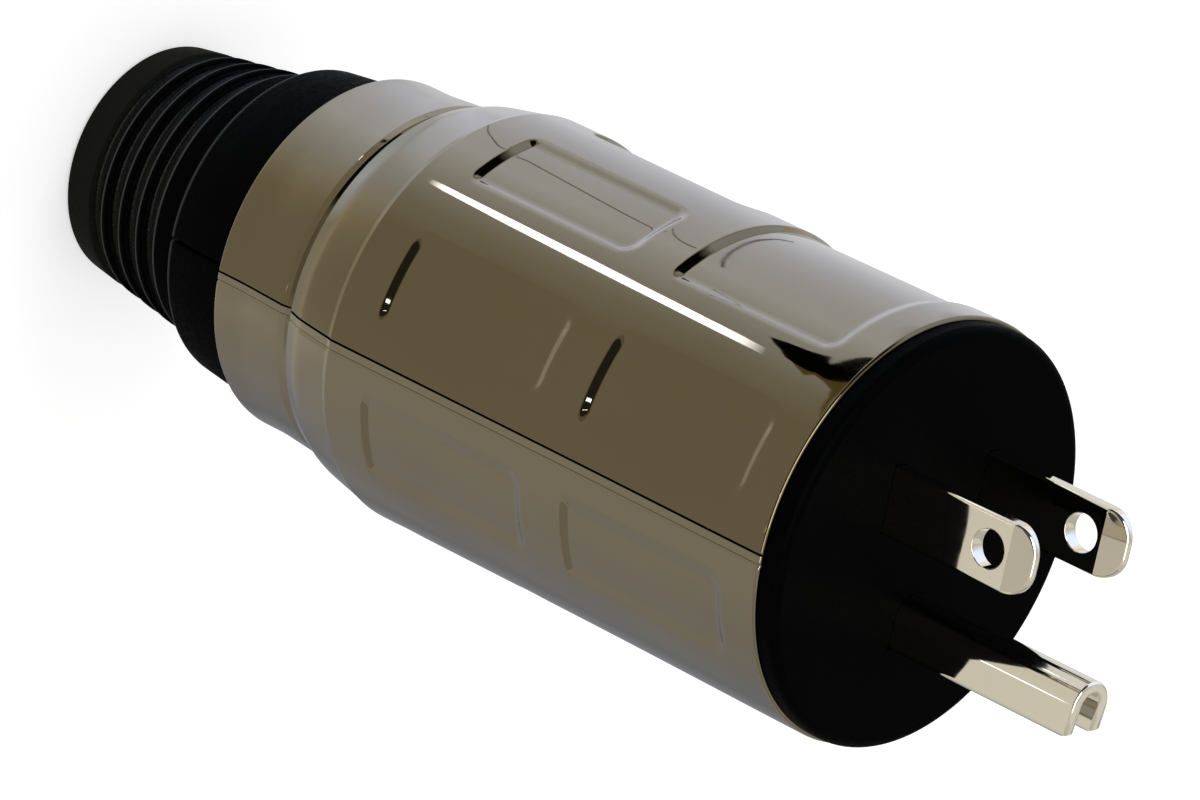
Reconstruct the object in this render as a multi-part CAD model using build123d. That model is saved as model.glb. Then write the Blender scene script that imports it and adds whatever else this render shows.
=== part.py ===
"""Three-pole straight-blade power plug with a die-cast metal body, standing on the rear end of its cord boot.

Millimetres. The origin is the centre of the boot's rear end. +Z runs along the plug's axis towards the
blades, X runs from the line blade to the neutral blade, and the ground pin lies on the -Y side.
The two metal half shells part on the plane Y = 0.
"""
import os
from math import cos, radians, sin, sqrt, tan

from build123d import *

# Contact pattern of the plug, which the socket sets
blade_spacing = 12.7
blade_thick = 1.52
blade_width = 6.35
blade_reach = 16.8
blade_hole_r = 1.98
blade_hole_reach = 11.9
blade_tip_round = 2.4
blade_tip_bevel = 2.6
blade_tip_land = 0.62
pin_below_blades = 11.91
pin_width = 4.75
pin_wall = 1.15
pin_height = 5.1
pin_leg_round = 1.2
pin_reach = 20.8
blade_line_y = 4.6

# Lengths along the axis, from the boot's rear end to the front face
boot_length = 18.0
collar_length = 8.5
neck_length = 9.6
shoulder_length = 7.6
barrel_length = 53.2
head_thick = 2.1

# Metal shells
barrel_r = 20.0
neck_r = 17.35
neck_flat = 4.0
neck_front_r = 17.8
groove_r = 17.5
groove_width = 1.3
groove_wall = 0.25
shoulder_rear_r = 18.25
shoulder_bulge = 0.3
crease_step = 0.15
shell_edge = 0.4
shell_wall = 2.0
seam_gap = 0.08
lip_height = 0.9
lip_thick = 0.8
lip_clear = 0.12

# Grip panels sunk into the shells
panel_depth = 0.45
panel_length = 18.4
panel_gap = 6.5
panel_land = 5.1
panel_corner = 2.4
panel_pitch_deg = 45.0
panel_span_deg = 22.6
window_span_deg = 67.6

# Cord boot
boot_rear_r = 11.45
boot_front_r = 13.45
boot_bore_r = 6.2
band_length = 3.7
rib_count = 3
rib_width = 0.7
rib_depth = 1.0
flange_length = 3.9
boot_edge = 0.9
boot_tube_r = 9.4
boot_lock_r = 12.8
boot_lock_thick = 2.6

# Clamping collar, in two halves
collar_rear_r = 15.4
collar_front_r = 15.9
collar_edge = 1.0
collar_wall = 2.5
collar_seam = 0.3
collar_depth = 8.4
clamp_bore_r = 6.5
ridge_count = 3
ridge_height = 0.25
ridge_width = 1.2
lock_rib_width = 2.0
lock_rib_height = 1.2

# Front insulator and terminal carrier
head_r = 19.7
head_edge = 0.9
plug_clear = 0.64
plug_depth = 12.9
hook_width = 2.5
hook_height = 1.8
hook_from_front = 3.8
carrier_length = 15.0
carrier_floor = 1.2
carrier_clear = 0.8
part_clear = 0.15

# Box terminals with their screws and pressure plates
cage_length = 11.8
cage_wall = 1.2
cage_inner_wall = 2.1
cage_throat = 3.7
plate_thick = 0.9
plate_length = 8.0
plate_lug = 0.6
plate_drop = 0.72
clamp_screw_r = 1.5
clamp_head_r = 2.6
clamp_head_thick = 1.8
clamp_head_stand = 0.9
wire_hole_r = 2.1
tail_length = 11.0
wing_width = 8.2
wing_thick = 1.7

# Screws along the axis that hold the carrier, and screws across it that hold the shells
carrier_screw_r = 1.45
carrier_screw_inset = 4.2
carrier_screw_deg = 38.5
carrier_head_r = 2.5
carrier_head_thick = 1.7
carrier_screw_bite = 8.0
shell_screw_r = 1.45
shell_screw_x = 6.5
shell_head_r = 2.5
shell_head_thick = 2.0
shell_head_sink = 4.0
shell_screw_bite = 9.0
boss_r = 3.0
boss_rear_land = 4.2
boss_front_land = 2.5
screw_head_round = 0.5
screw_tip_bevel = 0.48
slot_width = 0.8
slot_depth = 0.8
screw_clear = 0.04

# Bonding strap from the ground terminal to the shell
strap_width = 4.6
strap_thick = 0.5
strap_foot = 5.0
strap_slope_deg = 55.0

# Places that follow from the sizes above
collar_z = boot_length
shell_z = collar_z + collar_length
groove_z = shell_z + neck_length
crease_z = groove_z + shoulder_length
rim_z = crease_z + barrel_length
face_z = rim_z + head_thick
inner_r = barrel_r - shell_wall
neck_inner_r = neck_r - shell_wall
plug_r = inner_r - plug_clear
carrier_front_z = rim_z - plug_depth
carrier_z = carrier_front_z - carrier_length
carrier_r = inner_r - carrier_clear
cage_z = carrier_z + carrier_floor
clamp_z = cage_z + cage_length / 2
hook_z = rim_z - hook_from_front - hook_width
blade_x = blade_spacing / 2
pin_y = blade_line_y - pin_below_blades
pin_tail_y = pin_y + pin_width / 2 - pin_wall / 2
cage_half_width = blade_width / 2 + part_clear + cage_wall
contact_half = blade_thick / 2
pole_frames = {
    "line": (-blade_x, blade_line_y, 180.0),
    "neutral": (blade_x, blade_line_y, 0.0),
    "ground": (0.0, pin_tail_y, -90.0),
}
screw_rows = (crease_z + boss_rear_land, carrier_z - boss_front_land - boss_r)
screw_places = [(side * shell_screw_x, z) for z in screw_rows for side in (-1, 1)]
carrier_screw_x = (inner_r - carrier_screw_inset) * cos(radians(carrier_screw_deg))
carrier_screw_y = (inner_r - carrier_screw_inset) * sin(radians(carrier_screw_deg))

# Cutters reach FAR across the plug, or PAST what they cut, and TOUCH tells equal places
FAR = 4 * barrel_r
PAST = 1.0
TOUCH = 0.01


def tube(outer_r, inner, low, high):
    """A ring about the plug's axis between two heights."""
    return extrude(Plane.XY.offset(low) * (Circle(outer_r) - Circle(inner)), high - low)


def rod(radius, low, high, x=0.0, y=0.0):
    """A rod along the plug's axis between two heights."""
    return extrude(Plane.XY.offset(low) * Pos(x, y) * Circle(radius), high - low)


def block(x_low, x_high, y_low, y_high, z_low, z_high):
    """A box between two corners."""
    size = (x_high - x_low, y_high - y_low, z_high - z_low)
    middle = ((x_low + x_high) / 2, (y_low + y_high) / 2, (z_low + z_high) / 2)
    return Pos(*middle) * Box(*size)


def section_line(points, close=False):
    """Straight lines through (radius, height) points of a half section."""
    return Polyline(*[(r, 0, z) for r, z in points], close=close)


def spun(points):
    """A turned body from (radius, height) points of its half section."""
    return revolve(make_face(section_line(points, close=True)), Axis.Z)


def cross_rod(radius, x, z, y_low, y_high):
    """A rod along Y between two depths."""
    across = Plane(origin=(x, y_low, z), x_dir=(1, 0, 0), z_dir=(0, 1, 0))
    return extrude(across * Circle(radius), y_high - y_low)


def circles_at(body, z, radius):
    """The round edges of a body at one height with one radius."""
    return [e for e in body.edges().filter_by(GeomType.CIRCLE)
            if abs(e.center().Z - z) < TOUCH and abs(e.radius - radius) < TOUCH]


def half_space(side, gap):
    """Everything on one side of the parting plane, short of half the gap."""
    near = side * gap / 2
    far = side * FAR
    return block(-FAR, FAR, min(near, far), max(near, far), -FAR, face_z + FAR)


def shell_body():
    """Both shells as one turned casting: neck, groove, domed shoulder and barrel, hollow inside."""
    groove_low = groove_z - groove_width
    rear = [(neck_inner_r, shell_z), (neck_r, shell_z), (neck_r, shell_z + neck_flat)]
    rear += [(neck_front_r, groove_low), (groove_r, groove_low + groove_wall)]
    rear += [(groove_r, groove_z - groove_wall), (shoulder_rear_r, groove_z)]
    shoulder_front_r = barrel_r - crease_step
    middle = ((shoulder_rear_r + shoulder_front_r) / 2 + shoulder_bulge, (groove_z + crease_z) / 2)
    front = [(shoulder_front_r, crease_z), (barrel_r, crease_z + crease_step), (barrel_r, rim_z)]
    front += [(inner_r, rim_z), (inner_r, crease_z)]
    front += [(neck_inner_r, groove_z - shell_wall), (neck_inner_r, shell_z)]
    dome = ThreePointArc(*[(r, 0, z) for r, z in (rear[-1], middle, front[0])])
    outline = section_line(rear) + dome + section_line(front)
    body = revolve(make_face(outline), Axis.Z)
    body = fillet(circles_at(body, shell_z, neck_r), shell_edge)
    hook = tube(inner_r + shell_wall / 2, inner_r - hook_height, hook_z, hook_z + hook_width)
    lock_z = shell_z + (collar_depth - lock_rib_width) / 2
    lock_r = neck_inner_r - lock_rib_height
    lock = tube(neck_inner_r + shell_wall / 2, lock_r, lock_z, lock_z + lock_rib_width)
    return body + hook + lock


def panel(centre_deg, span_deg, row):
    """The sunk floor of one grip panel: a rounded pad that stands on the outside of the barrel."""
    low = crease_z + panel_land + row * (panel_length + panel_gap)
    width = 2 * barrel_r * sin(radians(span_deg / 2))
    corner = min(panel_corner, panel_length / 3, width / 3)
    outward = Plane(origin=(0, 0, low + panel_length / 2), x_dir=(0, 1, 0), z_dir=(1, 0, 0))
    pad = extrude(outward * RectangleRounded(width, panel_length, corner), 1.5 * barrel_r)
    pad -= rod(barrel_r - panel_depth, low - PAST, low + panel_length + PAST)
    return Rot(0, 0, centre_deg) * pad


def panel_angles(side, row):
    """Centre angles of the panels that one shell has in one row."""
    flank = [side * panel_pitch_deg / 2, side * (180 - panel_pitch_deg / 2)]
    if side > 0 and row == 0:
        flank += [90 - panel_pitch_deg / 2, 90 + panel_pitch_deg / 2]
    return flank


def boss(side, x, z):
    """A screw post from the shell's wall to the parting plane."""
    reach = sqrt(inner_r ** 2 - x ** 2) + shell_wall / 2
    low, high = sorted((side * seam_gap / 2, side * reach))
    return cross_rod(boss_r, x, z, low, high)


def seam_lip(clearance):
    """The thin inner lip that one shell raises into the other along the barrel's two seams."""
    low = crease_z + panel_land - clearance
    high = hook_z - panel_land + clearance
    ring = tube(inner_r + lip_thick + clearance, inner_r - clearance, low, high)
    band = block(-FAR, FAR, -lip_height, lip_height + clearance, low, high)
    return ring & band


def head_seat():
    """Depth of the screw heads' seat below the parting plane."""
    return -sqrt(barrel_r ** 2 - shell_screw_x ** 2) + shell_head_sink + shell_head_thick


def make_upper_shell():
    shell = shell_body() & half_space(1, seam_gap)
    for x, z in screw_places:
        shell += boss(1, x, z)
    for row in (0, 1):
        for angle in panel_angles(1, row):
            shell -= panel(angle, panel_span_deg, row)
    shell -= panel(90, window_span_deg, 1)
    shell -= seam_lip(lip_clear)
    for x, z in screw_places:
        shell -= cross_rod(shell_screw_r + screw_clear, x, z, 0, shell_screw_bite + 2 * slot_depth)
    return shell


def make_lower_shell():
    shell = shell_body() & half_space(-1, seam_gap)
    for x, z in screw_places:
        shell += boss(-1, x, z)
    for row in (0, 1):
        for angle in panel_angles(-1, row):
            shell -= panel(angle, panel_span_deg, row)
    lip = seam_lip(0)
    shell += lip & block(-FAR, FAR, -lip_height, lip_height - lip_clear, 0, face_z)
    for x, z in screw_places:
        shell -= cross_rod(shell_screw_r + 2 * screw_clear, x, z, -FAR, PAST)
        shell -= cross_rod(shell_head_r + part_clear, x, z, -FAR, head_seat())
    return shell


def screw(radius, head_radius, head_thick, length):
    """A slotted screw along +Z, with the underside of its head at the origin."""
    shank = Cylinder(radius, length, align=(Align.CENTER, Align.CENTER, Align.MIN))
    head = Cylinder(head_radius, head_thick, align=(Align.CENTER, Align.CENTER, Align.MAX))
    head = fillet(circles_at(head, -head_thick, head_radius), screw_head_round)
    slot = Pos(0, 0, -head_thick + slot_depth / 2) * Box(3 * head_radius, slot_width, slot_depth)
    return chamfer(circles_at(shank, length, radius), screw_tip_bevel) + (head - slot)


def make_shell_screws():
    """Four screws that pull the lower shell up against the upper one."""
    seat = head_seat()
    one = screw(shell_screw_r, shell_head_r, shell_head_thick, shell_screw_bite - seat)
    return [Pos(x, seat, z) * Rot(-90, 0, 0) * one for x, z in screw_places]


def make_cord_boot():
    """Ribbed rubber boot that widens up to its flange, with a lock ring that the collar holds."""
    flange_z = boot_length - flange_length
    front = boot_length - part_clear
    body = spun([(boot_bore_r, 0), (boot_rear_r, 0), (boot_front_r, flange_z), (boot_front_r, front),
                 (boot_bore_r, front)])
    pitch = (flange_z - band_length + rib_width) / (rib_count + 1)
    for i in range(rib_count + 1):
        low = band_length + i * pitch
        floor_r = boot_rear_r + low / flange_z * (boot_front_r - boot_rear_r) - rib_depth
        body -= tube(FAR, floor_r, low, low + pitch - rib_width)
    body = fillet(circles_at(body, 0, boot_rear_r), boot_edge)
    lock_z = collar_z + collar_wall + part_clear
    body += tube(boot_tube_r, boot_bore_r, boot_length - 2 * part_clear, lock_z + boot_lock_thick)
    body += tube(boot_lock_r, boot_bore_r, lock_z, lock_z + boot_lock_thick)
    return body


def make_collar(side):
    """Half of the clamping collar: it grips the cord, traps the boot and is trapped by the shells."""
    inside_r = neck_inner_r - part_clear
    front = shell_z + collar_depth
    lock_low = collar_z + collar_wall
    lock_high = lock_low + boot_lock_thick + 2 * part_clear
    body = spun([(clamp_bore_r, collar_z), (collar_rear_r, collar_z), (collar_front_r, shell_z - part_clear),
                 (inside_r, shell_z - part_clear), (inside_r, front), (clamp_bore_r, front)])
    body = fillet(circles_at(body, collar_z, collar_rear_r), collar_edge)
    body -= rod(boot_tube_r + part_clear, collar_z - PAST, lock_low + PAST)
    body -= rod(boot_lock_r + part_clear, lock_low, lock_high)
    rib_mid = shell_z + collar_depth / 2
    rib_half = lock_rib_width / 2 + part_clear
    body -= tube(FAR, neck_inner_r - lock_rib_height - part_clear, rib_mid - rib_half, rib_mid + rib_half)
    grip_length = front - lock_high
    for i in range(ridge_count):
        mid = lock_high + grip_length * (i + 0.5) / ridge_count
        body += tube(clamp_bore_r + ridge_height, clamp_bore_r - ridge_height,
                     mid - ridge_width / 2, mid + ridge_width / 2)
    return body & half_space(side, collar_seam)


def pin_outline(grow):
    """Outer section of the ground pin: a round top with straight legs, open downwards."""
    half = pin_width / 2 + grow
    bottom = pin_y + pin_width / 2 - pin_height - grow
    return Pos(0, pin_y) * Circle(half) + Pos(0, (bottom + pin_y) / 2) * Rectangle(2 * half, pin_y - bottom)


def pin_core(grow):
    """The space inside the folded ground pin."""
    half = pin_width / 2 - pin_wall - grow
    bottom = pin_y - 2 * pin_height
    return Pos(0, pin_y) * Circle(half) + Pos(0, (bottom + pin_y) / 2) * Rectangle(2 * half, pin_y - bottom)


def make_face_insulator():
    """Front insulator: its head covers the shells' rim, and its plug carries the contacts."""
    body = rod(plug_r, carrier_front_z, rim_z + head_thick / 2) + rod(head_r, rim_z + seam_gap, face_z)
    body = fillet(body.faces().sort_by(Axis.Z)[-1].edges(), head_edge)
    hook_low, hook_high = hook_z - part_clear, hook_z + hook_width + part_clear
    body -= tube(FAR, inner_r - hook_height - part_clear, hook_low, hook_high)
    for side in (-1, 1):
        half_x = contact_half + part_clear / 3
        half_y = blade_width / 2 + part_clear / 3
        x = side * blade_x
        body -= block(x - half_x, x + half_x, blade_line_y - half_y, blade_line_y + half_y, 0, face_z + PAST)
        screw_end = carrier_front_z + carrier_screw_bite + part_clear
        body -= rod(carrier_screw_r + screw_clear, carrier_front_z - PAST, screw_end,
                    side * carrier_screw_x, -carrier_screw_y)
    section = pin_outline(part_clear / 3) - pin_core(part_clear / 3)
    body -= extrude(Plane.XY.offset(carrier_front_z - PAST) * section, face_z)
    return body


def make_blade(side):
    """One flat blade: bevelled rounded tip, lock hole, shoulders behind the insulator and a tail."""
    tip_z = face_z + blade_reach
    tail_z = cage_z + cage_length - tail_length
    wing_z = carrier_front_z - part_clear
    flat = block(-contact_half, contact_half, -blade_width / 2, blade_width / 2, tail_z, tip_z)
    corners = flat.edges().filter_by(Axis.X).group_by(Axis.Z)[-1]
    flat = fillet(corners, blade_tip_round)
    for turn in (-1, 1):
        cutter = make_face(Polyline((turn * contact_half, 0, tip_z - blade_tip_bevel),
                                    (turn * 2 * contact_half, 0, tip_z - blade_tip_bevel),
                                    (turn * 2 * contact_half, 0, tip_z + PAST),
                                    (turn * blade_tip_land / 2, 0, tip_z + PAST),
                                    (turn * blade_tip_land / 2, 0, tip_z), close=True))
        flat -= extrude(cutter, FAR, both=True)
    flat += block(-contact_half, contact_half, -wing_width / 2, wing_width / 2, wing_z - wing_thick, wing_z)
    hole_plane = Plane(origin=(-FAR, 0, face_z + blade_hole_reach), x_dir=(0, 1, 0), z_dir=(1, 0, 0))
    flat -= extrude(hole_plane * Circle(blade_hole_r), 2 * FAR)
    return Pos(side * blade_x, blade_line_y, 0) * flat


def make_ground_pin():
    """Ground pin folded from sheet: U section, rounded tip, and a flat tail for its terminal."""
    tip_z = face_z + pin_reach
    section = pin_outline(0) - pin_core(0)
    wing_z = carrier_front_z - part_clear
    body = extrude(Plane.XY.offset(wing_z - wing_thick) * section, tip_z - wing_z + wing_thick)
    leg_ends = [e for e in body.edges().filter_by(Axis.X) if e.center().Z > tip_z - TOUCH]
    body = fillet(leg_ends, pin_leg_round)
    tail_z = cage_z + cage_length - tail_length
    thick = pin_wall / 2
    body += block(-pin_width / 2, pin_width / 2, pin_tail_y - thick, pin_tail_y + thick, tail_z, wing_z)
    wing_half = wing_width / 2
    body += block(-wing_half, wing_half, pin_tail_y - thick, pin_tail_y + thick, wing_z - wing_thick, wing_z)
    return body


def at_pole(name, piece):
    """Moves a piece made with its screw along +X from the contact's middle plane to a pole."""
    x, y, turn = pole_frames[name]
    return Pos(x, y, 0) * Rot(0, 0, turn) * piece


def make_terminal(name):
    """Box terminal: a cage round the contact's tail with a threaded wall for the clamp screw."""
    half = cage_half_width
    inner_face = -contact_half - part_clear / 3
    outer_face = contact_half + cage_throat
    cage = block(inner_face - cage_inner_wall, outer_face + cage_wall, -half, half,
                 cage_z, cage_z + cage_length)
    cage -= block(inner_face, outer_face, -half + cage_wall, half - cage_wall, 0, face_z)
    rims = cage.edges().filter_by(Axis.Z)
    outside = [e for e in rims if abs(abs(e.center().Y) - half) < TOUCH]
    cage = fillet(outside, cage_wall / 2)
    hole = Plane(origin=(0, 0, clamp_z), x_dir=(0, 1, 0), z_dir=(1, 0, 0))
    cage -= extrude(hole * Circle(clamp_screw_r + screw_clear), FAR)
    return at_pole(name, cage)


def clamp_head_u():
    """Distance of the clamp screw's head from the contact's middle plane."""
    return contact_half + cage_throat + cage_wall + clamp_head_stand


def make_clamp_screw(name):
    plate_top = contact_half + cage_throat - plate_drop
    head_at = clamp_head_u()
    one = screw(clamp_screw_r, clamp_head_r, clamp_head_thick, head_at - plate_top - screw_clear)
    return at_pole(name, Pos(head_at, 0, clamp_z) * Rot(0, -90, 0) * one)


def make_pressure_plate(name):
    """Plate under the clamp screw, with turned-down ends that keep it in the cage."""
    top = contact_half + cage_throat - plate_drop
    half_y = cage_half_width - cage_wall - part_clear
    low_z, high_z = clamp_z - plate_length / 2, clamp_z + plate_length / 2
    plate = block(top - plate_thick, top, -half_y, half_y, low_z, high_z)
    for z in (low_z, high_z - plate_lug):
        plate += block(top - plate_thick - plate_lug, top, -half_y, half_y, z, z + plate_lug)
    return at_pole(name, plate)


def make_terminal_carrier():
    """Moulded carrier behind the front insulator, with a pocket for each box terminal."""
    body = rod(carrier_r, carrier_z, carrier_front_z - seam_gap)
    half = cage_half_width + part_clear
    low_u = -contact_half - part_clear / 3 - cage_inner_wall - part_clear
    high_u = contact_half + cage_throat + cage_wall + part_clear
    for name in pole_frames:
        pocket = block(low_u, high_u, -half, half, cage_z, FAR + face_z)
        access = Plane(origin=(0, 0, clamp_z), x_dir=(0, 1, 0), z_dir=(1, 0, 0))
        pocket += extrude(access * Circle(clamp_head_r + 2 * part_clear), FAR)
        pocket += rod(wire_hole_r, carrier_z - PAST, cage_z + PAST, contact_half + cage_throat / 2)
        if name == "ground":
            half_slot = strap_width / 2 + part_clear
            pocket += block(high_u - PAST, FAR, -half_slot, half_slot,
                            carrier_z - PAST, clamp_z + plate_length / 2)
        body -= at_pole(name, pocket)
    for side in (-1, 1):
        x, y = side * carrier_screw_x, -carrier_screw_y
        body -= rod(carrier_screw_r + 2 * screw_clear, carrier_z - PAST, face_z, x, y)
        body -= rod(carrier_head_r + part_clear, carrier_z - PAST, carrier_z + carrier_head_thick, x, y)
    return body


def make_carrier_screws():
    """Two screws that hold the carrier to the front insulator."""
    length = carrier_length - carrier_head_thick + carrier_screw_bite
    one = screw(carrier_screw_r, carrier_head_r, carrier_head_thick, length)
    one = Pos(0, -carrier_screw_y, carrier_z + carrier_head_thick) * one
    return [Pos(side * carrier_screw_x) * one for side in (-1, 1)]


def make_bonding_strap():
    """Spring strip from under the ground clamp screw to the inside of the lower shell."""
    root = contact_half + cage_throat + cage_wall + screw_clear
    wall = inner_r + pin_tail_y - strap_width ** 2 / (8 * inner_r) - part_clear
    top_z = clamp_z + plate_length / 2 - part_clear
    bend_z = carrier_z + carrier_floor
    foot_z = carrier_z - (wall - root) / tan(radians(strap_slope_deg))
    line = [(root, top_z), (root + strap_thick, top_z), (root + strap_thick, bend_z),
            (wall, foot_z), (wall, foot_z - strap_foot), (wall - strap_thick, foot_z - strap_foot),
            (wall - strap_thick, foot_z - strap_thick / 4), (root, bend_z - strap_thick / 4)]
    face = make_face(Polyline(*[(u, 0, z) for u, z in line], close=True))
    strip = extrude(face, strap_width / 2, both=True)
    hole = Plane(origin=(0, 0, clamp_z), x_dir=(0, 1, 0), z_dir=(1, 0, 0))
    strip -= extrude(hole * Circle(clamp_screw_r + part_clear), FAR)
    return at_pole("ground", strip)


def make_parts():
    parts = {
        "upper_shell": make_upper_shell(),
        "lower_shell": make_lower_shell(),
        "shell_screws": make_shell_screws(),
        "cord_boot": make_cord_boot(),
        "upper_collar": make_collar(1),
        "lower_collar": make_collar(-1),
        "face_insulator": make_face_insulator(),
        "terminal_carrier": make_terminal_carrier(),
        "carrier_screws": make_carrier_screws(),
        "line_blade": make_blade(-1),
        "neutral_blade": make_blade(1),
        "ground_pin": make_ground_pin(),
        "bonding_strap": make_bonding_strap(),
    }
    for name in pole_frames:
        parts[f"{name}_terminal"] = make_terminal(name)
        parts[f"{name}_clamp_screw"] = make_clamp_screw(name)
        parts[f"{name}_pressure_plate"] = make_pressure_plate(name)
    return parts


os.makedirs("parts", exist_ok=True)
for node, made in make_parts().items():
    solids = made if isinstance(made, list) else made.solids()
    shape = solids[0] if len(solids) == 1 else Compound(children=list(solids))
    shape.label = node
    export_step(shape, f"parts/{node}.step")
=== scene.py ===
"""Looks of a three-pole power plug with a bronze-tinted mirror body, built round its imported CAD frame.

The plug stands on its cord boot: +Z runs to the blades, the line blade is on -X, and the two shells part
on the plane Y = 0. Sizes and places are in millimetres, and turn into metres when an object is made. Angles
round the axis are in degrees and run from +X towards +Y.
"""
from math import cos, degrees, pi, radians, sin

import bmesh
import bpy
import numpy as np
from mathutils import Euler, Matrix, Vector


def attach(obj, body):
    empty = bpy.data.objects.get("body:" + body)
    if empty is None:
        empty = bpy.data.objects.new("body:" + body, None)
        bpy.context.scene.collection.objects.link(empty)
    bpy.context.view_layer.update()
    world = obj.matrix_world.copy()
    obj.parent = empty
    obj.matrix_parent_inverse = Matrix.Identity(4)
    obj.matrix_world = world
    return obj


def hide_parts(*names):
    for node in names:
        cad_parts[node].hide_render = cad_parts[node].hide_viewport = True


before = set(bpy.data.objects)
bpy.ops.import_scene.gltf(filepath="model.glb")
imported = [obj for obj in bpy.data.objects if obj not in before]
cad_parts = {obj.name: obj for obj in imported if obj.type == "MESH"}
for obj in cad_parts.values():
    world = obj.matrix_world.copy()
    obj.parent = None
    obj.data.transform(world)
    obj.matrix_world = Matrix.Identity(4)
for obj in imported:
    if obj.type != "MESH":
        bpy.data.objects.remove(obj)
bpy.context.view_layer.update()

MM = 0.001
BODY = "root"

# Shells: heights of their edges, radii and walls, as in the CAD source
SHELL_Z, GROOVE_Z, CREASE_Z, RIM_Z = 26.5, 36.1, 43.7, 96.9
BARREL_R, NECK_BORE_R, SHELL_WALL = 20.0, 15.35, 2.0
BARREL_WAIST = 0.1

# The parting line: the gap, the upper shell's edge round and the lower shell's thin groove beside it.
# ARC_MM_DEG is the angle of one millimetre of the barrel's skin.
SEAM_HALF_GAP, SEAM_ROUND = 0.04, 0.26
SEAM_GROOVE_AWAY, SEAM_GROOVE_WIDTH, SEAM_GROOVE_DEPTH = 0.88, 0.14, 0.12
ARC_MM_DEG = degrees(1 / BARREL_R)
SEAM_DEG = SEAM_HALF_GAP * ARC_MM_DEG

# Sunk panels: a rear and a front row along the axis, spans in degrees, and the widths of their walls
PANEL_STARTS, PANEL_LENGTHS = (48.8, 73.7), (19.2, 18.8)
PANEL_SPAN_DEG, WINDOW_SPAN_DEG = 22.6, 67.6
PANEL_DEPTH = 0.45
REAR_CORNER_R, FRONT_CORNER_R = 0.8, 1.5
REAR_WALL, FRONT_WALL, FLANK_SIDE_WALL, TOP_SIDE_WALL = 1.0, 1.8, 2.4, 1.6

# Holes over the shell screws, in the lower shell
SCREW_X, SCREW_ROWS, SCREW_HEAD_R = 6.5, (47.9, 63.5), 2.65
SCREW_HOLE_FROM_Y, SCREW_HOLE_TO_Y = -25.0, -13.0

# Cord boot and clamping collar
BOOT_REAR_R, BOOT_FRONT_R = 11.45, 13.45
BOOT_BAND_Z, BOOT_FLANGE_Z = 3.7, 14.1
BOOT_RIBS, BOOT_RIB, BOOT_GROOVE_DEPTH = 3, 0.7, 1.0
COLLAR_REAR_Z, COLLAR_GAP, COLLAR_END_ROUND = 18.0, 0.3, 0.2

# Contacts
BLADE_X, BLADE_Y, BLADE_WIDTH, BLADE_HALF, BLADE_TIP_HALF = 6.35, 4.6, 6.35, 0.76, 0.34
BLADE_TAIL_Z, BLADE_TIP_Z, BLADE_BEVEL = 71.0, 115.4, 2.7
BLADE_BEVEL_Z = BLADE_TIP_Z - BLADE_BEVEL
BLADE_TAIL_ROUND, BLADE_TIP_ROUND, BLADE_EDGE = 0.5, 2.65, 0.3
BLADE_HOLE_Z, BLADE_HOLE_R, BLADE_HOLE_EDGE = 110.5, 1.75, 0.1
PIN_Y, PIN_HALF, PIN_WALL, PIN_HEIGHT = -7.31, 2.375, 1.15, 5.1
PIN_BOTTOM_Y = PIN_Y + PIN_HALF - PIN_HEIGHT
PIN_BASE_Z, PIN_TIP_Z, PIN_EDGE = 82.2, 119.8, 0.32
PIN_TIP_LENGTH, PIN_LEG_ROUND, PIN_LEG_CUT = 4.0, 1.2, 0.8

# Corners sharper than this stay sharp in the shading
MOULDED_CORNER_DEG, CONTACT_CORNER_DEG = 50.0, 40.0

# The photograph's camera, from a fit to the plug's circles and contacts
CAMERA_PLACE = (-523.5, 213.8, 489.2)
CAMERA_TURN_DEG = (-30.264, -45.5704, 16.8634)
CAMERA_LENS, CAMERA_SENSOR = 236.9, 36.0

# Heights of the low cards over the floor, each its own so that none lies in another
BOARD_LEVEL, REFLECTOR_LEVEL, FRAME_LEVEL, STRIP_LEVEL, FLAG_LEVEL = 0.3, 0.6, 1.2, 1.6, 2.0


# Meshes

def add_object(name, data):
    """A new object of the scene."""
    made = bpy.data.objects.new(name, data)
    bpy.context.scene.collection.objects.link(made)
    return made


def new_mesh(name, verts_mm, faces):
    """A mesh in metres from places in millimetres."""
    mesh = bpy.data.meshes.new(name)
    mesh.from_pydata((np.asarray(verts_mm) * MM).tolist(), [], faces)
    return mesh


def new_piece(name, verts_mm, faces, material, slot, replaced):
    """Adds a piece in the frame's axes, hides the CAD node that it stands for and gives it its finish."""
    mesh = new_mesh(name, verts_mm, faces)
    mesh.validate()
    mesh.materials.append(material)
    piece = add_object(name, mesh)
    bm = bmesh.new()
    bm.from_mesh(mesh)
    bmesh.ops.recalc_face_normals(bm, faces=bm.faces)
    bm.to_mesh(mesh)
    bm.free()
    mesh.shade_smooth()
    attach(piece, BODY)
    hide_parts(replaced)
    return piece


def sharpen(piece, angle_deg):
    """Keeps the real corners of a smooth-shaded mesh sharp."""
    bm = bmesh.new()
    bm.from_mesh(piece.data)
    for edge in bm.edges:
        if len(edge.link_faces) == 2 and edge.calc_face_angle(0.0) > radians(angle_deg):
            edge.smooth = False
    bm.to_mesh(piece.data)
    bm.free()


def flatten_shading(piece):
    """Lets the large flat faces set the shading, so that only the rounds next to them look round."""
    piece.modifiers.new("flat_faces", "WEIGHTED_NORMAL").keep_sharp = True


def cylindrical(radius, turn, z):
    """Points from their distance to the axis, their angle in radians and their height."""
    return np.stack(np.broadcast_arrays(radius * np.cos(turn), radius * np.sin(turn), z), -1)


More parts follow.
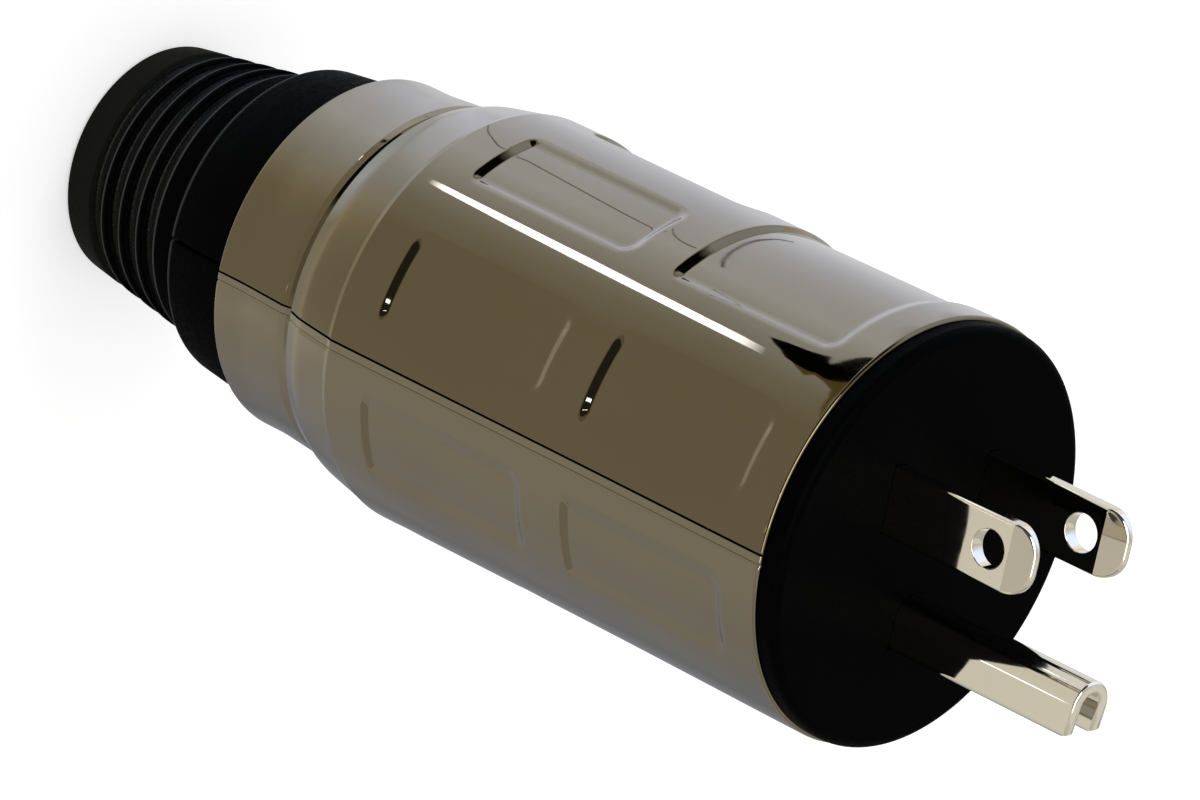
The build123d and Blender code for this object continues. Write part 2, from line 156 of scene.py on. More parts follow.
def rounded(points, steps=6):
    """A polygon's outline with a fillet at each (x, y, radius) corner."""
    out = []
    count = len(points)
    for i, (x, y, radius) in enumerate(points):
        here = np.array([x, y], float)
        if radius <= 0:
            out.append(here)
            continue
        before = np.array(points[i - 1][:2], float) - here
        after = np.array(points[(i + 1) % count][:2], float) - here
        before /= np.linalg.norm(before)
        after /= np.linalg.norm(after)
        half = np.arccos(np.clip(before @ after, -1, 1)) / 2
        reach = radius / np.tan(half)
        centre = here + (before + after) / np.linalg.norm(before + after) * radius / np.sin(half)
        start, end = here + before * reach - centre, here + after * reach - centre
        turn = np.arccos(np.clip(start @ end / radius ** 2, -1, 1))
        for step in range(steps + 1):
            t = step / steps
            out.append(centre + (np.sin((1 - t) * turn) * start + np.sin(t * turn) * end) / np.sin(turn))
    return np.array(out)


def inset(loop, distance):
    """A closed outline moved inwards; the outline runs anticlockwise."""
    along = np.roll(loop, -1, 0) - loop
    along /= np.linalg.norm(along, axis=1)[:, None]
    normal = np.stack([-along[:, 1], along[:, 0]], 1)
    before = np.roll(normal, 1, 0)
    return loop + distance * (before + normal) / (1 + (before * normal).sum(1))[:, None]


def edge_round(radius, steps):
    """Pairs of distances round a quarter circle, from (0, radius) to (radius, 0)."""
    return [(radius * (1 - cos(a)), radius * (1 - sin(a))) for a in np.linspace(0, pi / 2, steps)]


def ring_faces(first, second, count, closed=True):
    """Quads between two rows of vertices."""
    last = count if closed else count - 1
    return [(first + i, first + (i + 1) % count, second + (i + 1) % count, second + i) for i in range(last)]


def grid_faces(first, rows, columns):
    """Quads of a grid of vertices, row after row from the first vertex."""
    faces = []
    for i in range(rows - 1):
        faces += ring_faces(first + i * columns, first + (i + 1) * columns, columns, closed=False)
    return faces


def solid_faces(rows, size):
    """Faces of a solid made of rows of closed loops: two end faces, and quads between the loops."""
    faces = [tuple(range(size)), tuple(range((rows - 1) * size, rows * size))]
    for i in range(rows - 1):
        faces += ring_faces(i * size, (i + 1) * size, size)
    return faces


def turned(profile, segments=224):
    """Vertices and faces of a closed (radius, height) profile turned about the plug's axis."""
    turns = np.arange(segments) * 2 * pi / segments
    verts = cylindrical(profile[:, 0], turns[:, None], profile[:, 1])
    size = len(profile)
    faces = []
    for i in range(segments):
        faces += ring_faces(i * size, (i + 1) % segments * size, size)
    return verts.reshape(-1, 3), faces


def half_turned(profile, side, gap, end_round, segments=112):
    """As turned(), but half the ring, with flat rounded ends short of the parting plane."""

    def first_turn(loop, away):
        return np.arcsin(np.clip((gap / 2 + away) / loop[:, 0], -1, 1))

    starts, ends = [], []
    for away, shrink in edge_round(end_round, 5):
        loop = inset(profile, shrink)
        turn = first_turn(loop, away)
        starts.append((loop, turn))
        ends.insert(0, (loop, pi - turn))
    turn = first_turn(profile, end_round)
    middle = [(profile, turn + (pi - 2 * turn) * (i / segments)) for i in range(1, segments)]
    rows = [cylindrical(loop[:, 0], side * turn, loop[:, 1]) for loop, turn in starts + middle + ends]
    return np.concatenate(rows), solid_faces(len(rows), len(profile))


def spaced(low, high, coarse, marks):
    """Sorted places from low to high: coarse steps, and fine ones near each (place, reach, step)."""
    places = list(np.linspace(low, high, int(np.ceil((high - low) / coarse)) + 1))
    for place, reach, step in marks:
        places = [p for p in places if abs(p - place) > reach or p in (low, high)]
        count = int(np.ceil(2 * reach / step))
        places += [p for p in np.linspace(place - reach, place + reach, count + 1) if low < p < high]
    places = np.unique(np.round(places, 5))
    keep = np.concatenate([[True], np.diff(places) > 0.01])
    return places[keep]


# Shells

def waist(z):
    """How much slimmer the barrel is than a straight one, most at its middle."""
    middle = (CREASE_Z + RIM_Z) / 2
    along = np.clip(np.abs(z - middle) / (RIM_Z - middle), 0, 1)
    return BARREL_WAIST * (1 - along ** 2) ** 2


def shell_radius(z):
    """Outside radius of both shells along the axis, without panels."""
    inside = 10.0
    neck = [(17.35, SHELL_Z, 0.3), (17.36, 30.0, 20.0), (17.8, 35.42, 0.3)]
    groove = [(17.64, 36.02, 0.1), (17.5, 36.4, 0.08), (17.5, 36.65, 0.05)]
    shoulder = [(18.15, 36.85, 0.45), (18.95, 38.8, 6.0), (19.84, 43.42, 0.1)]
    barrel = [(BARREL_R, 43.94, 0.15), (BARREL_R, RIM_Z, 0.32)]
    section = [(inside, SHELL_Z, 0)] + neck + groove + shoulder + barrel + [(inside, RIM_Z, 0)]
    outline = rounded(section, steps=10)[1:-1]
    return np.interp(z, outline[:, 1], outline[:, 0]) - waist(z)


def panel_places(side):
    """Centre angle, span and row of each panel of one shell; the wide one is the window."""
    places = [(side * angle, PANEL_SPAN_DEG, row) for row in (0, 1) for angle in (22.5, 157.5)]
    if side > 0:
        places += [(67.5, PANEL_SPAN_DEG, 0), (112.5, PANEL_SPAN_DEG, 0), (90.0, WINDOW_SPAN_DEG, 1)]
    return places


def ease(t):
    """A step from 0 to 1 with long soft ends."""
    t = np.clip(t, 0, 1)
    return t * t * t * (t * (6 * t - 15) + 10)


def chamfer_step(t):
    """A step from 0 to 1 that is straight in the middle, with short rounds at both ends."""
    soft = 0.3
    start = t ** 2 / (2 * soft)
    finish = 1 - soft - (1 - t) ** 2 / (2 * soft)
    step = np.where(t < soft, start, np.where(t > 1 - soft, finish, t - soft / 2))
    return step / (1 - soft)


def sink(z, turn_deg, centre_deg, span_deg, row):
    """Depth of one panel at a place on the shell: a crisp slope at its rear end, and soft walls elsewhere."""
    half_length = PANEL_LENGTHS[row] / 2
    half_width = np.radians(span_deg / 2) * BARREL_R
    v = z - PANEL_STARTS[row] - half_length
    u = np.radians(turn_deg - centre_deg) * BARREL_R
    corner = np.where(v < 0, REAR_CORNER_R, FRONT_CORNER_R)
    from_u, from_v = np.abs(u) - half_width + corner, np.abs(v) - half_length + corner
    past_u, past_v = np.maximum(from_u, 0), np.maximum(from_v, 0)
    outside = np.hypot(past_u, past_v) + np.minimum(np.maximum(from_u, from_v), 0) - corner
    end = past_v ** 2 / (past_u ** 2 + past_v ** 2 + 1e-9)
    rear = end * (v < 0)
    side_wall = TOP_SIDE_WALL if abs(centre_deg - 90) < 45 else FLANK_SIDE_WALL
    width = rear * REAR_WALL + (end - rear) * FRONT_WALL + (1 - end) * side_wall
    t = np.clip(0.5 - outside / width, 0, 1)
    return PANEL_DEPTH * (rear * chamfer_step(t) + (1 - rear) * ease(t))


def seam_drop(arc, side):
    """How much a shell falls away at a distance from the parting line: a small round above, a groove below."""
    if side < 0:
        return SEAM_GROOVE_DEPTH * np.exp(-((arc - SEAM_GROOVE_AWAY) / SEAM_GROOVE_WIDTH) ** 2)
    inside = np.clip(SEAM_ROUND - arc, 0, SEAM_ROUND)
    return SEAM_ROUND - np.sqrt(np.maximum(SEAM_ROUND ** 2 - inside ** 2, 0))


def shell_rows(side):
    """Heights of a shell's vertices, close together at walls, groove, crease and rims, and by the window."""
    walls = [PANEL_STARTS[row] + end for row in (0, 1) for end in (0, PANEL_LENGTHS[row])]
    marks = [(z, 2.6, 0.16) for z in walls] + [(z, 0.75, 0.075) for z in walls[::2]]
    marks += [(SHELL_Z + 0.25, 0.4, 0.05), (36.2, 1.2, 0.06), (38.2, 1.0, 0.15), (CREASE_Z, 0.5, 0.04)]
    marks += [(RIM_Z - 0.15, 0.3, 0.03)]
    if side > 0:
        marks += [(72.4, 1.6, 0.09)]
    return spaced(SHELL_Z, RIM_Z, 0.9, marks)


def shell_columns(side):
    """Angles of a shell's vertices, close together at the panels' walls, the seam and the screw holes."""
    ends = {centre + k * span / 2 for centre, span, _ in panel_places(side) for k in (-1, 1)}
    marks = [(side * end, 2.2 * ARC_MM_DEG, 0.16 * ARC_MM_DEG) for end in sorted(ends)]
    marks += [(end, 1.3 * ARC_MM_DEG, 0.04 * ARC_MM_DEG) for end in (SEAM_DEG, 180 - SEAM_DEG)]
    if side < 0:
        marks += [(90, 10.0, 0.6), (71, 8.6, 0.5), (109, 8.6, 0.5)]
    return spaced(SEAM_DEG, 180 - SEAM_DEG, 1.6, marks)


def make_shell(side, name, material):
    """One half shell as a thick skin: a fine mesh outside, a plain one inside, closed at the edges."""
    heights, columns = shell_rows(side), shell_columns(side)
    z, turn = np.meshgrid(heights, columns, indexing="ij")
    arc = np.radians(np.minimum(turn - SEAM_DEG, 180 - SEAM_DEG - turn)) * BARREL_R
    radius = shell_radius(z) - seam_drop(arc, side)
    for centre, span, row in panel_places(side):
        radius -= sink(z, side * turn, centre, span, row)
    outer = cylindrical(radius, np.radians(side * turn), z)
    inner_z = np.array([SHELL_Z, GROOVE_Z - SHELL_WALL, CREASE_Z, RIM_Z])
    inner_r = np.array([NECK_BORE_R, NECK_BORE_R, BARREL_R - SHELL_WALL, BARREL_R - SHELL_WALL])
    inner = cylindrical(inner_r[:, None], np.radians(side * columns), inner_z[:, None])
    rows_out, rows_in, count = len(heights), len(inner_z), len(columns)
    base = rows_out * count
    faces = grid_faces(0, rows_out, count) + grid_faces(base, rows_in, count)
    faces += ring_faces(0, base, count, closed=False)
    faces += ring_faces((rows_out - 1) * count, base + (rows_in - 1) * count, count, closed=False)
    for column in (0, count - 1):
        rim = [i * count + column for i in range(rows_out)]
        faces.append(tuple(rim + [base + i * count + column for i in reversed(range(rows_in))]))
    verts = np.concatenate([outer.reshape(-1, 3), inner.reshape(-1, 3)])
    shell = new_piece(name + "_skin", verts, faces, material, "shell_metal", name)
    sharpen(shell, MOULDED_CORNER_DEG)
    return shell


def bore_screw_holes(shell):
    """Cuts the four sunk screw places into the lower shell."""
    middle, depth = (SCREW_HOLE_FROM_Y + SCREW_HOLE_TO_Y) / 2, SCREW_HOLE_TO_Y - SCREW_HOLE_FROM_Y
    for place in [(x * MM, middle * MM, z * MM) for x in (-SCREW_X, SCREW_X) for z in SCREW_ROWS]:
        bpy.ops.mesh.primitive_cylinder_add(vertices=64, radius=SCREW_HEAD_R * MM, depth=depth * MM,
                                            location=place, rotation=(pi / 2, 0, 0))
        cutter = bpy.context.object
        cut = shell.modifiers.new("hole", "BOOLEAN")
        cut.operation, cut.object, cut.solver = "DIFFERENCE", cutter, "EXACT"
        bpy.context.view_layer.objects.active = shell
        bpy.ops.object.modifier_apply(modifier=cut.name)
        bpy.data.objects.remove(cutter)
    sharpen(shell, MOULDED_CORNER_DEG)


# Boot and collar

def boot_grooves():
    """Lower and upper end of each groove beside the boot's ribs."""
    pitch = (BOOT_FLANGE_Z - BOOT_BAND_Z + BOOT_RIB) / (BOOT_RIBS + 1)
    return [(BOOT_BAND_Z + i * pitch, BOOT_BAND_Z + (i + 1) * pitch - BOOT_RIB) for i in range(BOOT_RIBS + 1)]


def boot_profile():
    """Half section of the cord boot, anticlockwise in (radius, height)."""
    bore_r, tube_r, lock_r = 6.2, 9.4, 12.8
    flange_top, lock_z, top = 17.85, 20.65, 23.25

    def skin(z):
        return BOOT_REAR_R + min(z / BOOT_FLANGE_Z, 1) * (BOOT_FRONT_R - BOOT_REAR_R)

    points = [(bore_r, 0, 0.4), (BOOT_REAR_R, 0, 0.8), (skin(BOOT_BAND_Z), BOOT_BAND_Z, 0.22)]
    for i, (low, high) in enumerate(boot_grooves()):
        floor = skin(low) - BOOT_GROOVE_DEPTH
        points += [(floor, low + 0.25, 0.45), (floor, high - 0.3, 0.45), (skin(high), high, 0.16)]
        if i < BOOT_RIBS:
            points.append((skin(high + BOOT_RIB), high + BOOT_RIB, 0.2))
    points += [(BOOT_FRONT_R, flange_top, 0.35), (tube_r, flange_top, 0), (tube_r, lock_z, 0)]
    points += [(lock_r, lock_z, 0.3), (lock_r, top, 0.3), (bore_r, top, 0.3)]
    return rounded(points)


def make_boot(name, material):
    """The cord boot with its ribs."""
    boot = new_piece(name + "_ribbed", *turned(boot_profile()), material, "boot_rubber", name)
    sharpen(boot, MOULDED_CORNER_DEG)


def collar_profile():
    """Half section of the clamping collar, anticlockwise in (radius, height)."""
    outside = [(9.55, COLLAR_REAR_Z, 0), (15.35, COLLAR_REAR_Z, 0.55), (15.75, 21.5, 12.0),
               (15.9, 26.35, 0.25)]
    tongue = [(15.2, 26.35, 0), (15.2, 29.55, 0), (14.0, 29.55, 0), (14.0, 31.85, 0), (15.2, 31.85, 0),
              (15.2, 34.9, 0.3)]
    inside = [(6.5, 34.9, 0.3), (6.5, 23.4, 0), (12.95, 23.4, 0), (12.95, 20.5, 0), (9.55, 20.5, 0)]
    return rounded(outside + tongue + inside)


def make_collar(side, name, material):
    """One half ring of the clamping collar."""
    verts, faces = half_turned(collar_profile(), side, COLLAR_GAP, COLLAR_END_ROUND)
    collar = new_piece(name + "_grained", verts, faces, material, "black_nylon", name)
    sharpen(collar, MOULDED_CORNER_DEG)


# Contacts

def blade_half(z):
    """Half thickness of a blade along its length: flat, then bevelled towards the tip."""
    t = np.clip((z - BLADE_BEVEL_Z) / BLADE_BEVEL, 0, 1)
    return BLADE_HALF + t * (BLADE_TIP_HALF - BLADE_HALF)


def blade_outline():
    """A blade's outline in (y, z) from its middle line, anticlockwise."""
    side = BLADE_WIDTH / 2
    tail = [(-side, BLADE_TAIL_Z, BLADE_TAIL_ROUND), (side, BLADE_TAIL_Z, BLADE_TAIL_ROUND)]
    tip = [(side, BLADE_BEVEL_Z, 0), (side, BLADE_TIP_Z, BLADE_TIP_ROUND),
           (-side, BLADE_TIP_Z, BLADE_TIP_ROUND), (-side, BLADE_BEVEL_Z, 0)]
    return rounded(tail + tip, steps=24)


def make_blade(side, name, material):
    """A flat blade with rounded edges, a bevelled round tip and a lock hole."""
    turns = -np.arange(96) * 2 * pi / 96
    hole = np.stack([BLADE_HOLE_R * np.cos(turns), BLADE_HOLE_Z + BLADE_HOLE_R * np.sin(turns)], 1)
    near = 1e-4
    bm = bmesh.new()

    def bridge(first, second):
        for i, start in enumerate(first):
            j = (i + 1) % len(first)
            bm.faces.new((start, first[j], second[j], second[i]))

    def rings(loop, round_r, face):
        made = []
        for shrink, drop in edge_round(round_r, 6):
            flat = inset(loop, shrink)
            made.append([bm.verts.new((face * (float(blade_half(z)) - drop), y, z)) for y, z in flat])
        for first, second in zip(made, made[1:]):
            bridge(first, second)
        return made

    walls = {}
    for face in (-1, 1):
        rim, bore = rings(blade_outline(), BLADE_EDGE, face), rings(hole, BLADE_HOLE_EDGE, face)
        walls[face] = (rim[0], bore[0])
        bm.faces.new([v for v in rim[-1] if v.co.z >= BLADE_BEVEL_Z - near])
        flat_rim = {v for v in rim[-1] if v.co.z <= BLADE_BEVEL_Z + near}
        flat_bore = set(bore[-1])
        border = [e for e in bm.edges if flat_rim.issuperset(e.verts) or flat_bore.issuperset(e.verts)]
        bmesh.ops.triangle_fill(bm, use_beauty=True, use_dissolve=False, edges=border)
    for first, second in zip(walls[-1], walls[1]):
        bridge(first, second)
    bm.verts.index_update()
    verts = [(side * BLADE_X + v.co.x, BLADE_Y + v.co.y, v.co.z) for v in bm.verts]
    faces = [tuple(v.index for v in f.verts) for f in bm.faces]
    bm.free()
    blade = new_piece(name + "_plated", verts, faces, material, "contact_plating", name)
    sharpen(blade, CONTACT_CORNER_DEG)
    points = blade.data.vertices
    for line in blade.data.edges:
        if all(abs(points[i].co.z / MM - BLADE_BEVEL_Z) < 0.001 for i in line.vertices):
            line.use_edge_sharp = True
    flatten_shading(blade)


def pin_section():
    """U section of the ground pin, anticlockwise in (x, y), open downwards."""
    inner = PIN_HALF - PIN_WALL
    turns = np.linspace(0, pi, 49)
    outer_arc = [(PIN_HALF * cos(a), PIN_Y + PIN_HALF * sin(a), 0) for a in turns]
    inner_arc = [(inner * cos(a), PIN_Y + inner * sin(a), 0) for a in turns[::-1]]
    left = [(-PIN_HALF, PIN_BOTTOM_Y, 0.5), (-inner, PIN_BOTTOM_Y, 0.4)]
    right = [(inner, PIN_BOTTOM_Y, 0.4), (PIN_HALF, PIN_BOTTOM_Y, 0.5)]
    return rounded(outer_arc + left + inner_arc + right, steps=8)


def make_ground_pin(name, material):
    """The folded ground pin, its end edges rounded and its leg corners cut back."""
    section = pin_section()
    rows = [(0.0, PIN_BASE_Z, 0.0), (0.0, PIN_TIP_Z - PIN_TIP_LENGTH, 0.0)]
    rows += [(shrink, PIN_TIP_Z - drop, PIN_LEG_CUT) for shrink, drop in edge_round(PIN_EDGE, 7)]
    verts = []
    for shrink, z, cut in rows:
        flat = inset(section, shrink)
        lift = np.clip(PIN_LEG_ROUND - (flat[:, 1] - PIN_BOTTOM_Y), 0, PIN_LEG_ROUND)
        back = PIN_LEG_ROUND - np.sqrt(np.maximum(PIN_LEG_ROUND ** 2 - lift ** 2, 0))
        verts.append(np.column_stack([flat, z - cut * back]))
    faces = solid_faces(len(rows), len(section))
    pin = new_piece(name + "_plated", np.concatenate(verts), faces, material, "contact_plating", name)
    sharpen(pin, CONTACT_CORNER_DEG)
    flatten_shading(pin)


# Nodes of materials

def feed(socket, value):
    """Sets a socket to a number or a colour, or links another node's output to it."""
    if isinstance(value, bpy.types.NodeSocket):
        socket.id_data.links.new(value, socket)
    else:
        socket.default_value = (*value, 1) if socket.type == "RGBA" else value


def arithmetic(tree, operation, *values, clamp=False):
    """One step of arithmetic on numbers and other nodes' outputs."""
    node = tree.nodes.new("ShaderNodeMath")
    node.operation, node.use_clamp = operation, clamp
    for socket, value in zip(node.inputs, values):
        feed(socket, value)
    return node.outputs[0]


def spread(tree, value, low, high, out_low, out_high):
    """Maps a value from one range to another, and holds it at the ends."""
    node = tree.nodes.new("ShaderNodeMapRange")
    for socket, number in zip(node.inputs, (value, low, high, out_low, out_high)):
        feed(socket, number)
    return node.outputs[0]


def noise(tree, place, scale, detail, roughness=0.5):
    """Noise from 0 to 1, with about as many grains in a metre as the scale."""
    node = tree.nodes.new("ShaderNodeTexNoise")
    for name, value in (("Vector", place), ("Scale", scale), ("Detail", detail), ("Roughness", roughness)):
        feed(node.inputs[name], value)
    return node.outputs["Fac"]


def mix_colours(tree, factor, under, over):
    """A colour between two colours or other nodes' outputs, by a factor."""
    node = tree.nodes.new("ShaderNodeMix")
    node.data_type = "RGBA"
    for name, value in (("Factor", factor), ("A", under), ("B", over)):
        feed(node.inputs[name], value)
    return node.outputs["Result"]


def bump(tree, shader, height, strength, distance, before=None):
    """Bumps a shader's surface by a height, on top of the bump before."""
    node = tree.nodes.new("ShaderNodeBump")
    for name, value in (("Height", height), ("Strength", strength), ("Distance", distance)):
        feed(node.inputs[name], value)
    if before is not None:
        feed(node.inputs["Normal"], before)
    feed(shader.inputs["Normal"], node.outputs["Normal"])
    return node.outputs["Normal"]


def split(tree, place):
    """The x, y and z of a place."""
    node = tree.nodes.new("ShaderNodeSeparateXYZ")
    feed(node.inputs[0], place)
    return node.outputs


def rings_at(tree, along, places_mm, half_width_mm):
    """1 on thin rings round the axis at these heights, fading to 0 beside them."""
    total = 0.0
    for place in places_mm:
        away = arithmetic(tree, "ABSOLUTE", arithmetic(tree, "SUBTRACT", along, place * MM))
        total = arithmetic(tree, "ADD", total, spread(tree, away, 0.0, half_width_mm * MM, 1.0, 0.0))
    return total


# Materials

def new_material(name):
    """A material, its node tree, its shader and the place of each point in the object's axes."""
    material = bpy.data.materials.new(name)
    material.use_nodes = True
    tree = material.node_tree
    place = tree.nodes.new("ShaderNodeTexCoord").outputs["Object"]
    return material, tree, tree.nodes["Principled BSDF"], place


def mirror_metal(name, dark, light, ripple, polish, haze):
    """Polished plated metal: a slow tint change, smudges, a faint ripple in the casting and fine hairlines."""
    material, tree, shader, place = new_material(name)
    feed(shader.inputs["Metallic"], 1.0)
    feed(shader.inputs["Base Color"], mix_colours(tree, noise(tree, place, 90, 2), dark, light))
    smudge = noise(tree, place, 160, 4, 0.6)
    feed(shader.inputs["Roughness"], spread(tree, smudge, 0.35, 0.75, polish, haze))
    waves = bump(tree, shader, noise(tree, place, 420, 1), ripple, 0.0001)
    bump(tree, shader, noise(tree, place, 3200, 2), ripple * 0.5, 0.00001, waves)
    return material


def moulded(name, colour, grain_scale, grain_depth, roughness, specular, highlight_rings=None):
    """Moulded plastic with a fine spark-eroded grain, and a painted highlight as a paler colour on the given
    rings.
    """
    material, tree, shader, place = new_material(name)
    feed(shader.inputs["Specular IOR Level"], specular)
    skin = mix_colours(tree, noise(tree, place, 240, 3), colour, [c * 1.6 for c in colour])
    if highlight_rings is not None:
        # Painted highlight: the base colour turns paler on thin rings, where a rounded edge would catch the
        # light
        _, _, z = split(tree, place)
        skin = mix_colours(tree, rings_at(tree, z, *highlight_rings), skin, (0.055, 0.057, 0.055))
    feed(shader.inputs["Base Color"], skin)
    grain = noise(tree, place, grain_scale, 2, 0.6)
    feed(shader.inputs["Roughness"], spread(tree, grain, 0.35, 0.65, *roughness))
    bump(tree, shader, grain, 0.6, grain_depth)
    return material


def boot_rubber():
    """Rubber, matt on the ribs, shiny down in the grooves, paler on the rear band, and with a painted
    highlight on the ribs' edges.
    """
    material, tree, shader, place = new_material("boot_rubber")
    x, y, z = split(tree, place)
    squares = [arithmetic(tree, "MULTIPLY", side, side) for side in (x, y)]
    radius = arithmetic(tree, "SQRT", arithmetic(tree, "ADD", *squares))
    taper = (BOOT_FRONT_R - BOOT_REAR_R) / BOOT_FLANGE_Z
    straight = arithmetic(tree, "MULTIPLY_ADD", z, -taper, radius)
    out = spread(tree, straight, (BOOT_REAR_R - 0.7) * MM, (BOOT_REAR_R - 0.3) * MM, 0, 1)
    feed(shader.inputs["Specular IOR Level"], spread(tree, out, 0, 1, 0.1, 0.012))
    band = spread(tree, z, BOOT_BAND_Z * MM, (BOOT_BAND_Z + 0.4) * MM, 1, 0)
    skin = mix_colours(tree, band, (0.0004, 0.0005, 0.0006), (0.0105, 0.0112, 0.0092))
    # Painted highlight: a paler base colour on thin rings at the ribs' rear edges, where they would catch the
    # light
    edges = rings_at(tree, z, [high + 0.12 for _, high in boot_grooves()], 0.2)
    rib_edge_highlight = arithmetic(tree, "MULTIPLY", edges, out)
    feed(shader.inputs["Base Color"], mix_colours(tree, rib_edge_highlight, skin, (0.07, 0.073, 0.07)))
    fine = noise(tree, place, 2600, 3, 0.6)
    gloss = spread(tree, fine, 0.3, 0.7, 0.2, 0.42)
    feed(shader.inputs["Roughness"], arithmetic(tree, "MULTIPLY_ADD", out, 0.42, gloss))
    bump(tree, shader, fine, 0.7, 0.00008)
    return material


def dress(node_name, material):
    """Gives a CAD node its material."""
    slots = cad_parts[node_name].data.materials
    slots.clear()
    slots.append(material)


def dress_inner_nodes():
    """Materials for the CAD nodes that stay: screws, terminals, carrier and strap."""
    brass = mirror_metal("brass_strip", (0.58, 0.38, 0.14), (0.7, 0.48, 0.2),
                         ripple=0.25, polish=0.22, haze=0.36)
    steel = mirror_metal("zinc_steel", (0.5, 0.5, 0.49), (0.62, 0.62, 0.6),
                         ripple=0.3, polish=0.24, haze=0.4)
    nylon = moulded("carrier_nylon", (0.018, 0.018, 0.017), grain_scale=1900, grain_depth=0.00003,
                    roughness=(0.42, 0.6), specular=0.35)
    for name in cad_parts:
        if name.endswith("_terminal") or "plate" in name or "strap" in name:
            dress(name, brass)
        elif "screw" in name:
            dress(name, steel)
        else:
            dress(name, nylon)


# Floor, world and lamps

def bare_tree(mesh, name):
    """Gives a mesh a material with only an output; returns its node tree and the output's surface socket."""
    material = bpy.data.materials.new(name)
    material.use_nodes = True
    mesh.materials.append(material)
    tree = material.node_tree
    tree.nodes.clear()
    return tree, tree.nodes.new("ShaderNodeOutputMaterial").inputs["Surface"]


def seen_or_mirrored(tree):
    """1 for what the camera, a mirror or glass sees, and 0 for the light that falls on things."""
    path = tree.nodes.new("ShaderNodeLightPath")
    seen = path.outputs["Is Camera Ray"]
    for name in ("Is Glossy Ray", "Is Transmission Ray"):
        seen = arithmetic(tree, "ADD", seen, path.outputs[name], clamp=True)
    return seen


def make_floor():
    """A pale floor that looks white and keeps the plug's shadow."""
    reach, paper_white, lift = 12000, 0.84, 0.48
    corners = [(-reach, -reach, 0), (reach, -reach, 0), (reach, reach, 0), (-reach, reach, 0)]
    mesh = new_mesh("floor", corners, [(0, 1, 2, 3)])
    tree, surface = bare_tree(mesh, "floor_paper")
    paper = tree.nodes.new("ShaderNodeBsdfDiffuse")
    feed(paper.inputs["Color"], (paper_white, paper_white, paper_white))
    glow = tree.nodes.new("ShaderNodeEmission")
    feed(glow.inputs["Strength"], arithmetic(tree, "MULTIPLY", seen_or_mirrored(tree), lift))
    both = tree.nodes.new("ShaderNodeAddShader")
    feed(both.inputs[0], paper.outputs[0])
    feed(both.inputs[1], glow.outputs[0])
    feed(surface, both.outputs[0])
    add_object("floor", mesh)


def make_world():
    """A white surround for what is seen and mirrored, and a softer level for the light itself."""
    world = bpy.data.worlds.new("studio")
    bpy.context.scene.world = world
    world.use_nodes = True
    tree = world.node_tree
    background = tree.nodes["Background"]
    feed(background.inputs["Color"], (1, 1, 1))
    feed(background.inputs["Strength"], spread(tree, seen_or_mirrored(tree), 0, 1, 0.66, 1.0))


def make_lamp(name, place, power, colour):
    """A soft square lamp aimed at the middle of the plug, which the camera and mirrors don't see."""
    light = bpy.data.lights.new(name, "AREA")
    light.shape, light.size, light.energy, light.color = "SQUARE", 300 * MM, power, colour
    lamp = add_object(name, light)
    lamp.location = Vector(place) * MM
    aim = Vector((0, 0, 60)) - Vector(place)
    lamp.rotation_euler = aim.to_track_quat("-Z", "Y").to_euler()
    lamp.visible_camera = lamp.visible_glossy = False


# Cards: what the mirror faces show

def glow_card(name, verts_mm, faces, glow):
    """A card that only shiny surfaces see, bright or black, in one colour or one for each vertex."""
    mesh = new_mesh(name, verts_mm, faces)
    tree, surface = bare_tree(mesh, name)
    shine = tree.nodes.new("ShaderNodeEmission")
    feed(surface, shine.outputs[0])
    glow = np.asarray(glow, float)
    if glow.ndim == 1:
        feed(shine.inputs["Color"], glow)
    else:
        layer = mesh.color_attributes.new("glow", "FLOAT_COLOR", "POINT")
        layer.data.foreach_set("color", np.column_stack([glow, np.ones(len(glow))]).ravel())
        read = tree.nodes.new("ShaderNodeAttribute")
        read.attribute_name = "glow"
        feed(shine.inputs["Color"], read.outputs["Color"])
    card = add_object(name, mesh)
    card.visible_camera = card.visible_diffuse = card.visible_shadow = False
    card.visible_transmission = card.visible_volume_scatter = False


def grid_card(name, points, glow):
    """A card from rows of points, with a colour for each point."""
    faces = grid_faces(0, len(points), len(points[0]))
    glow_card(name, np.reshape(points, (-1, 3)), faces, np.reshape(glow, (-1, 3)))


def fade(places, *stops):
    """The level at each place, in straight lines between (place, level) stops."""
    at, level = zip(*stops)
    return np.interp(places, at, level)


def mirrored_at(turn_deg, z, height):
    """Where the camera looks after a mirror bounce on the barrel at an angle and z, at a card's height."""
    a = radians(turn_deg)
    lean = (waist(z + 0.1) - waist(z - 0.1)) / 0.2
    normal = np.array([cos(a), sin(a), lean]) / np.hypot(1.0, lean)
    start = np.array([BARREL_R * cos(a), BARREL_R * sin(a), z])
    view = start - CAMERA_PLACE
    ray = view - 2 * (view @ normal) * normal
    return tuple(start + ray * ((height - z) / ray[2]))


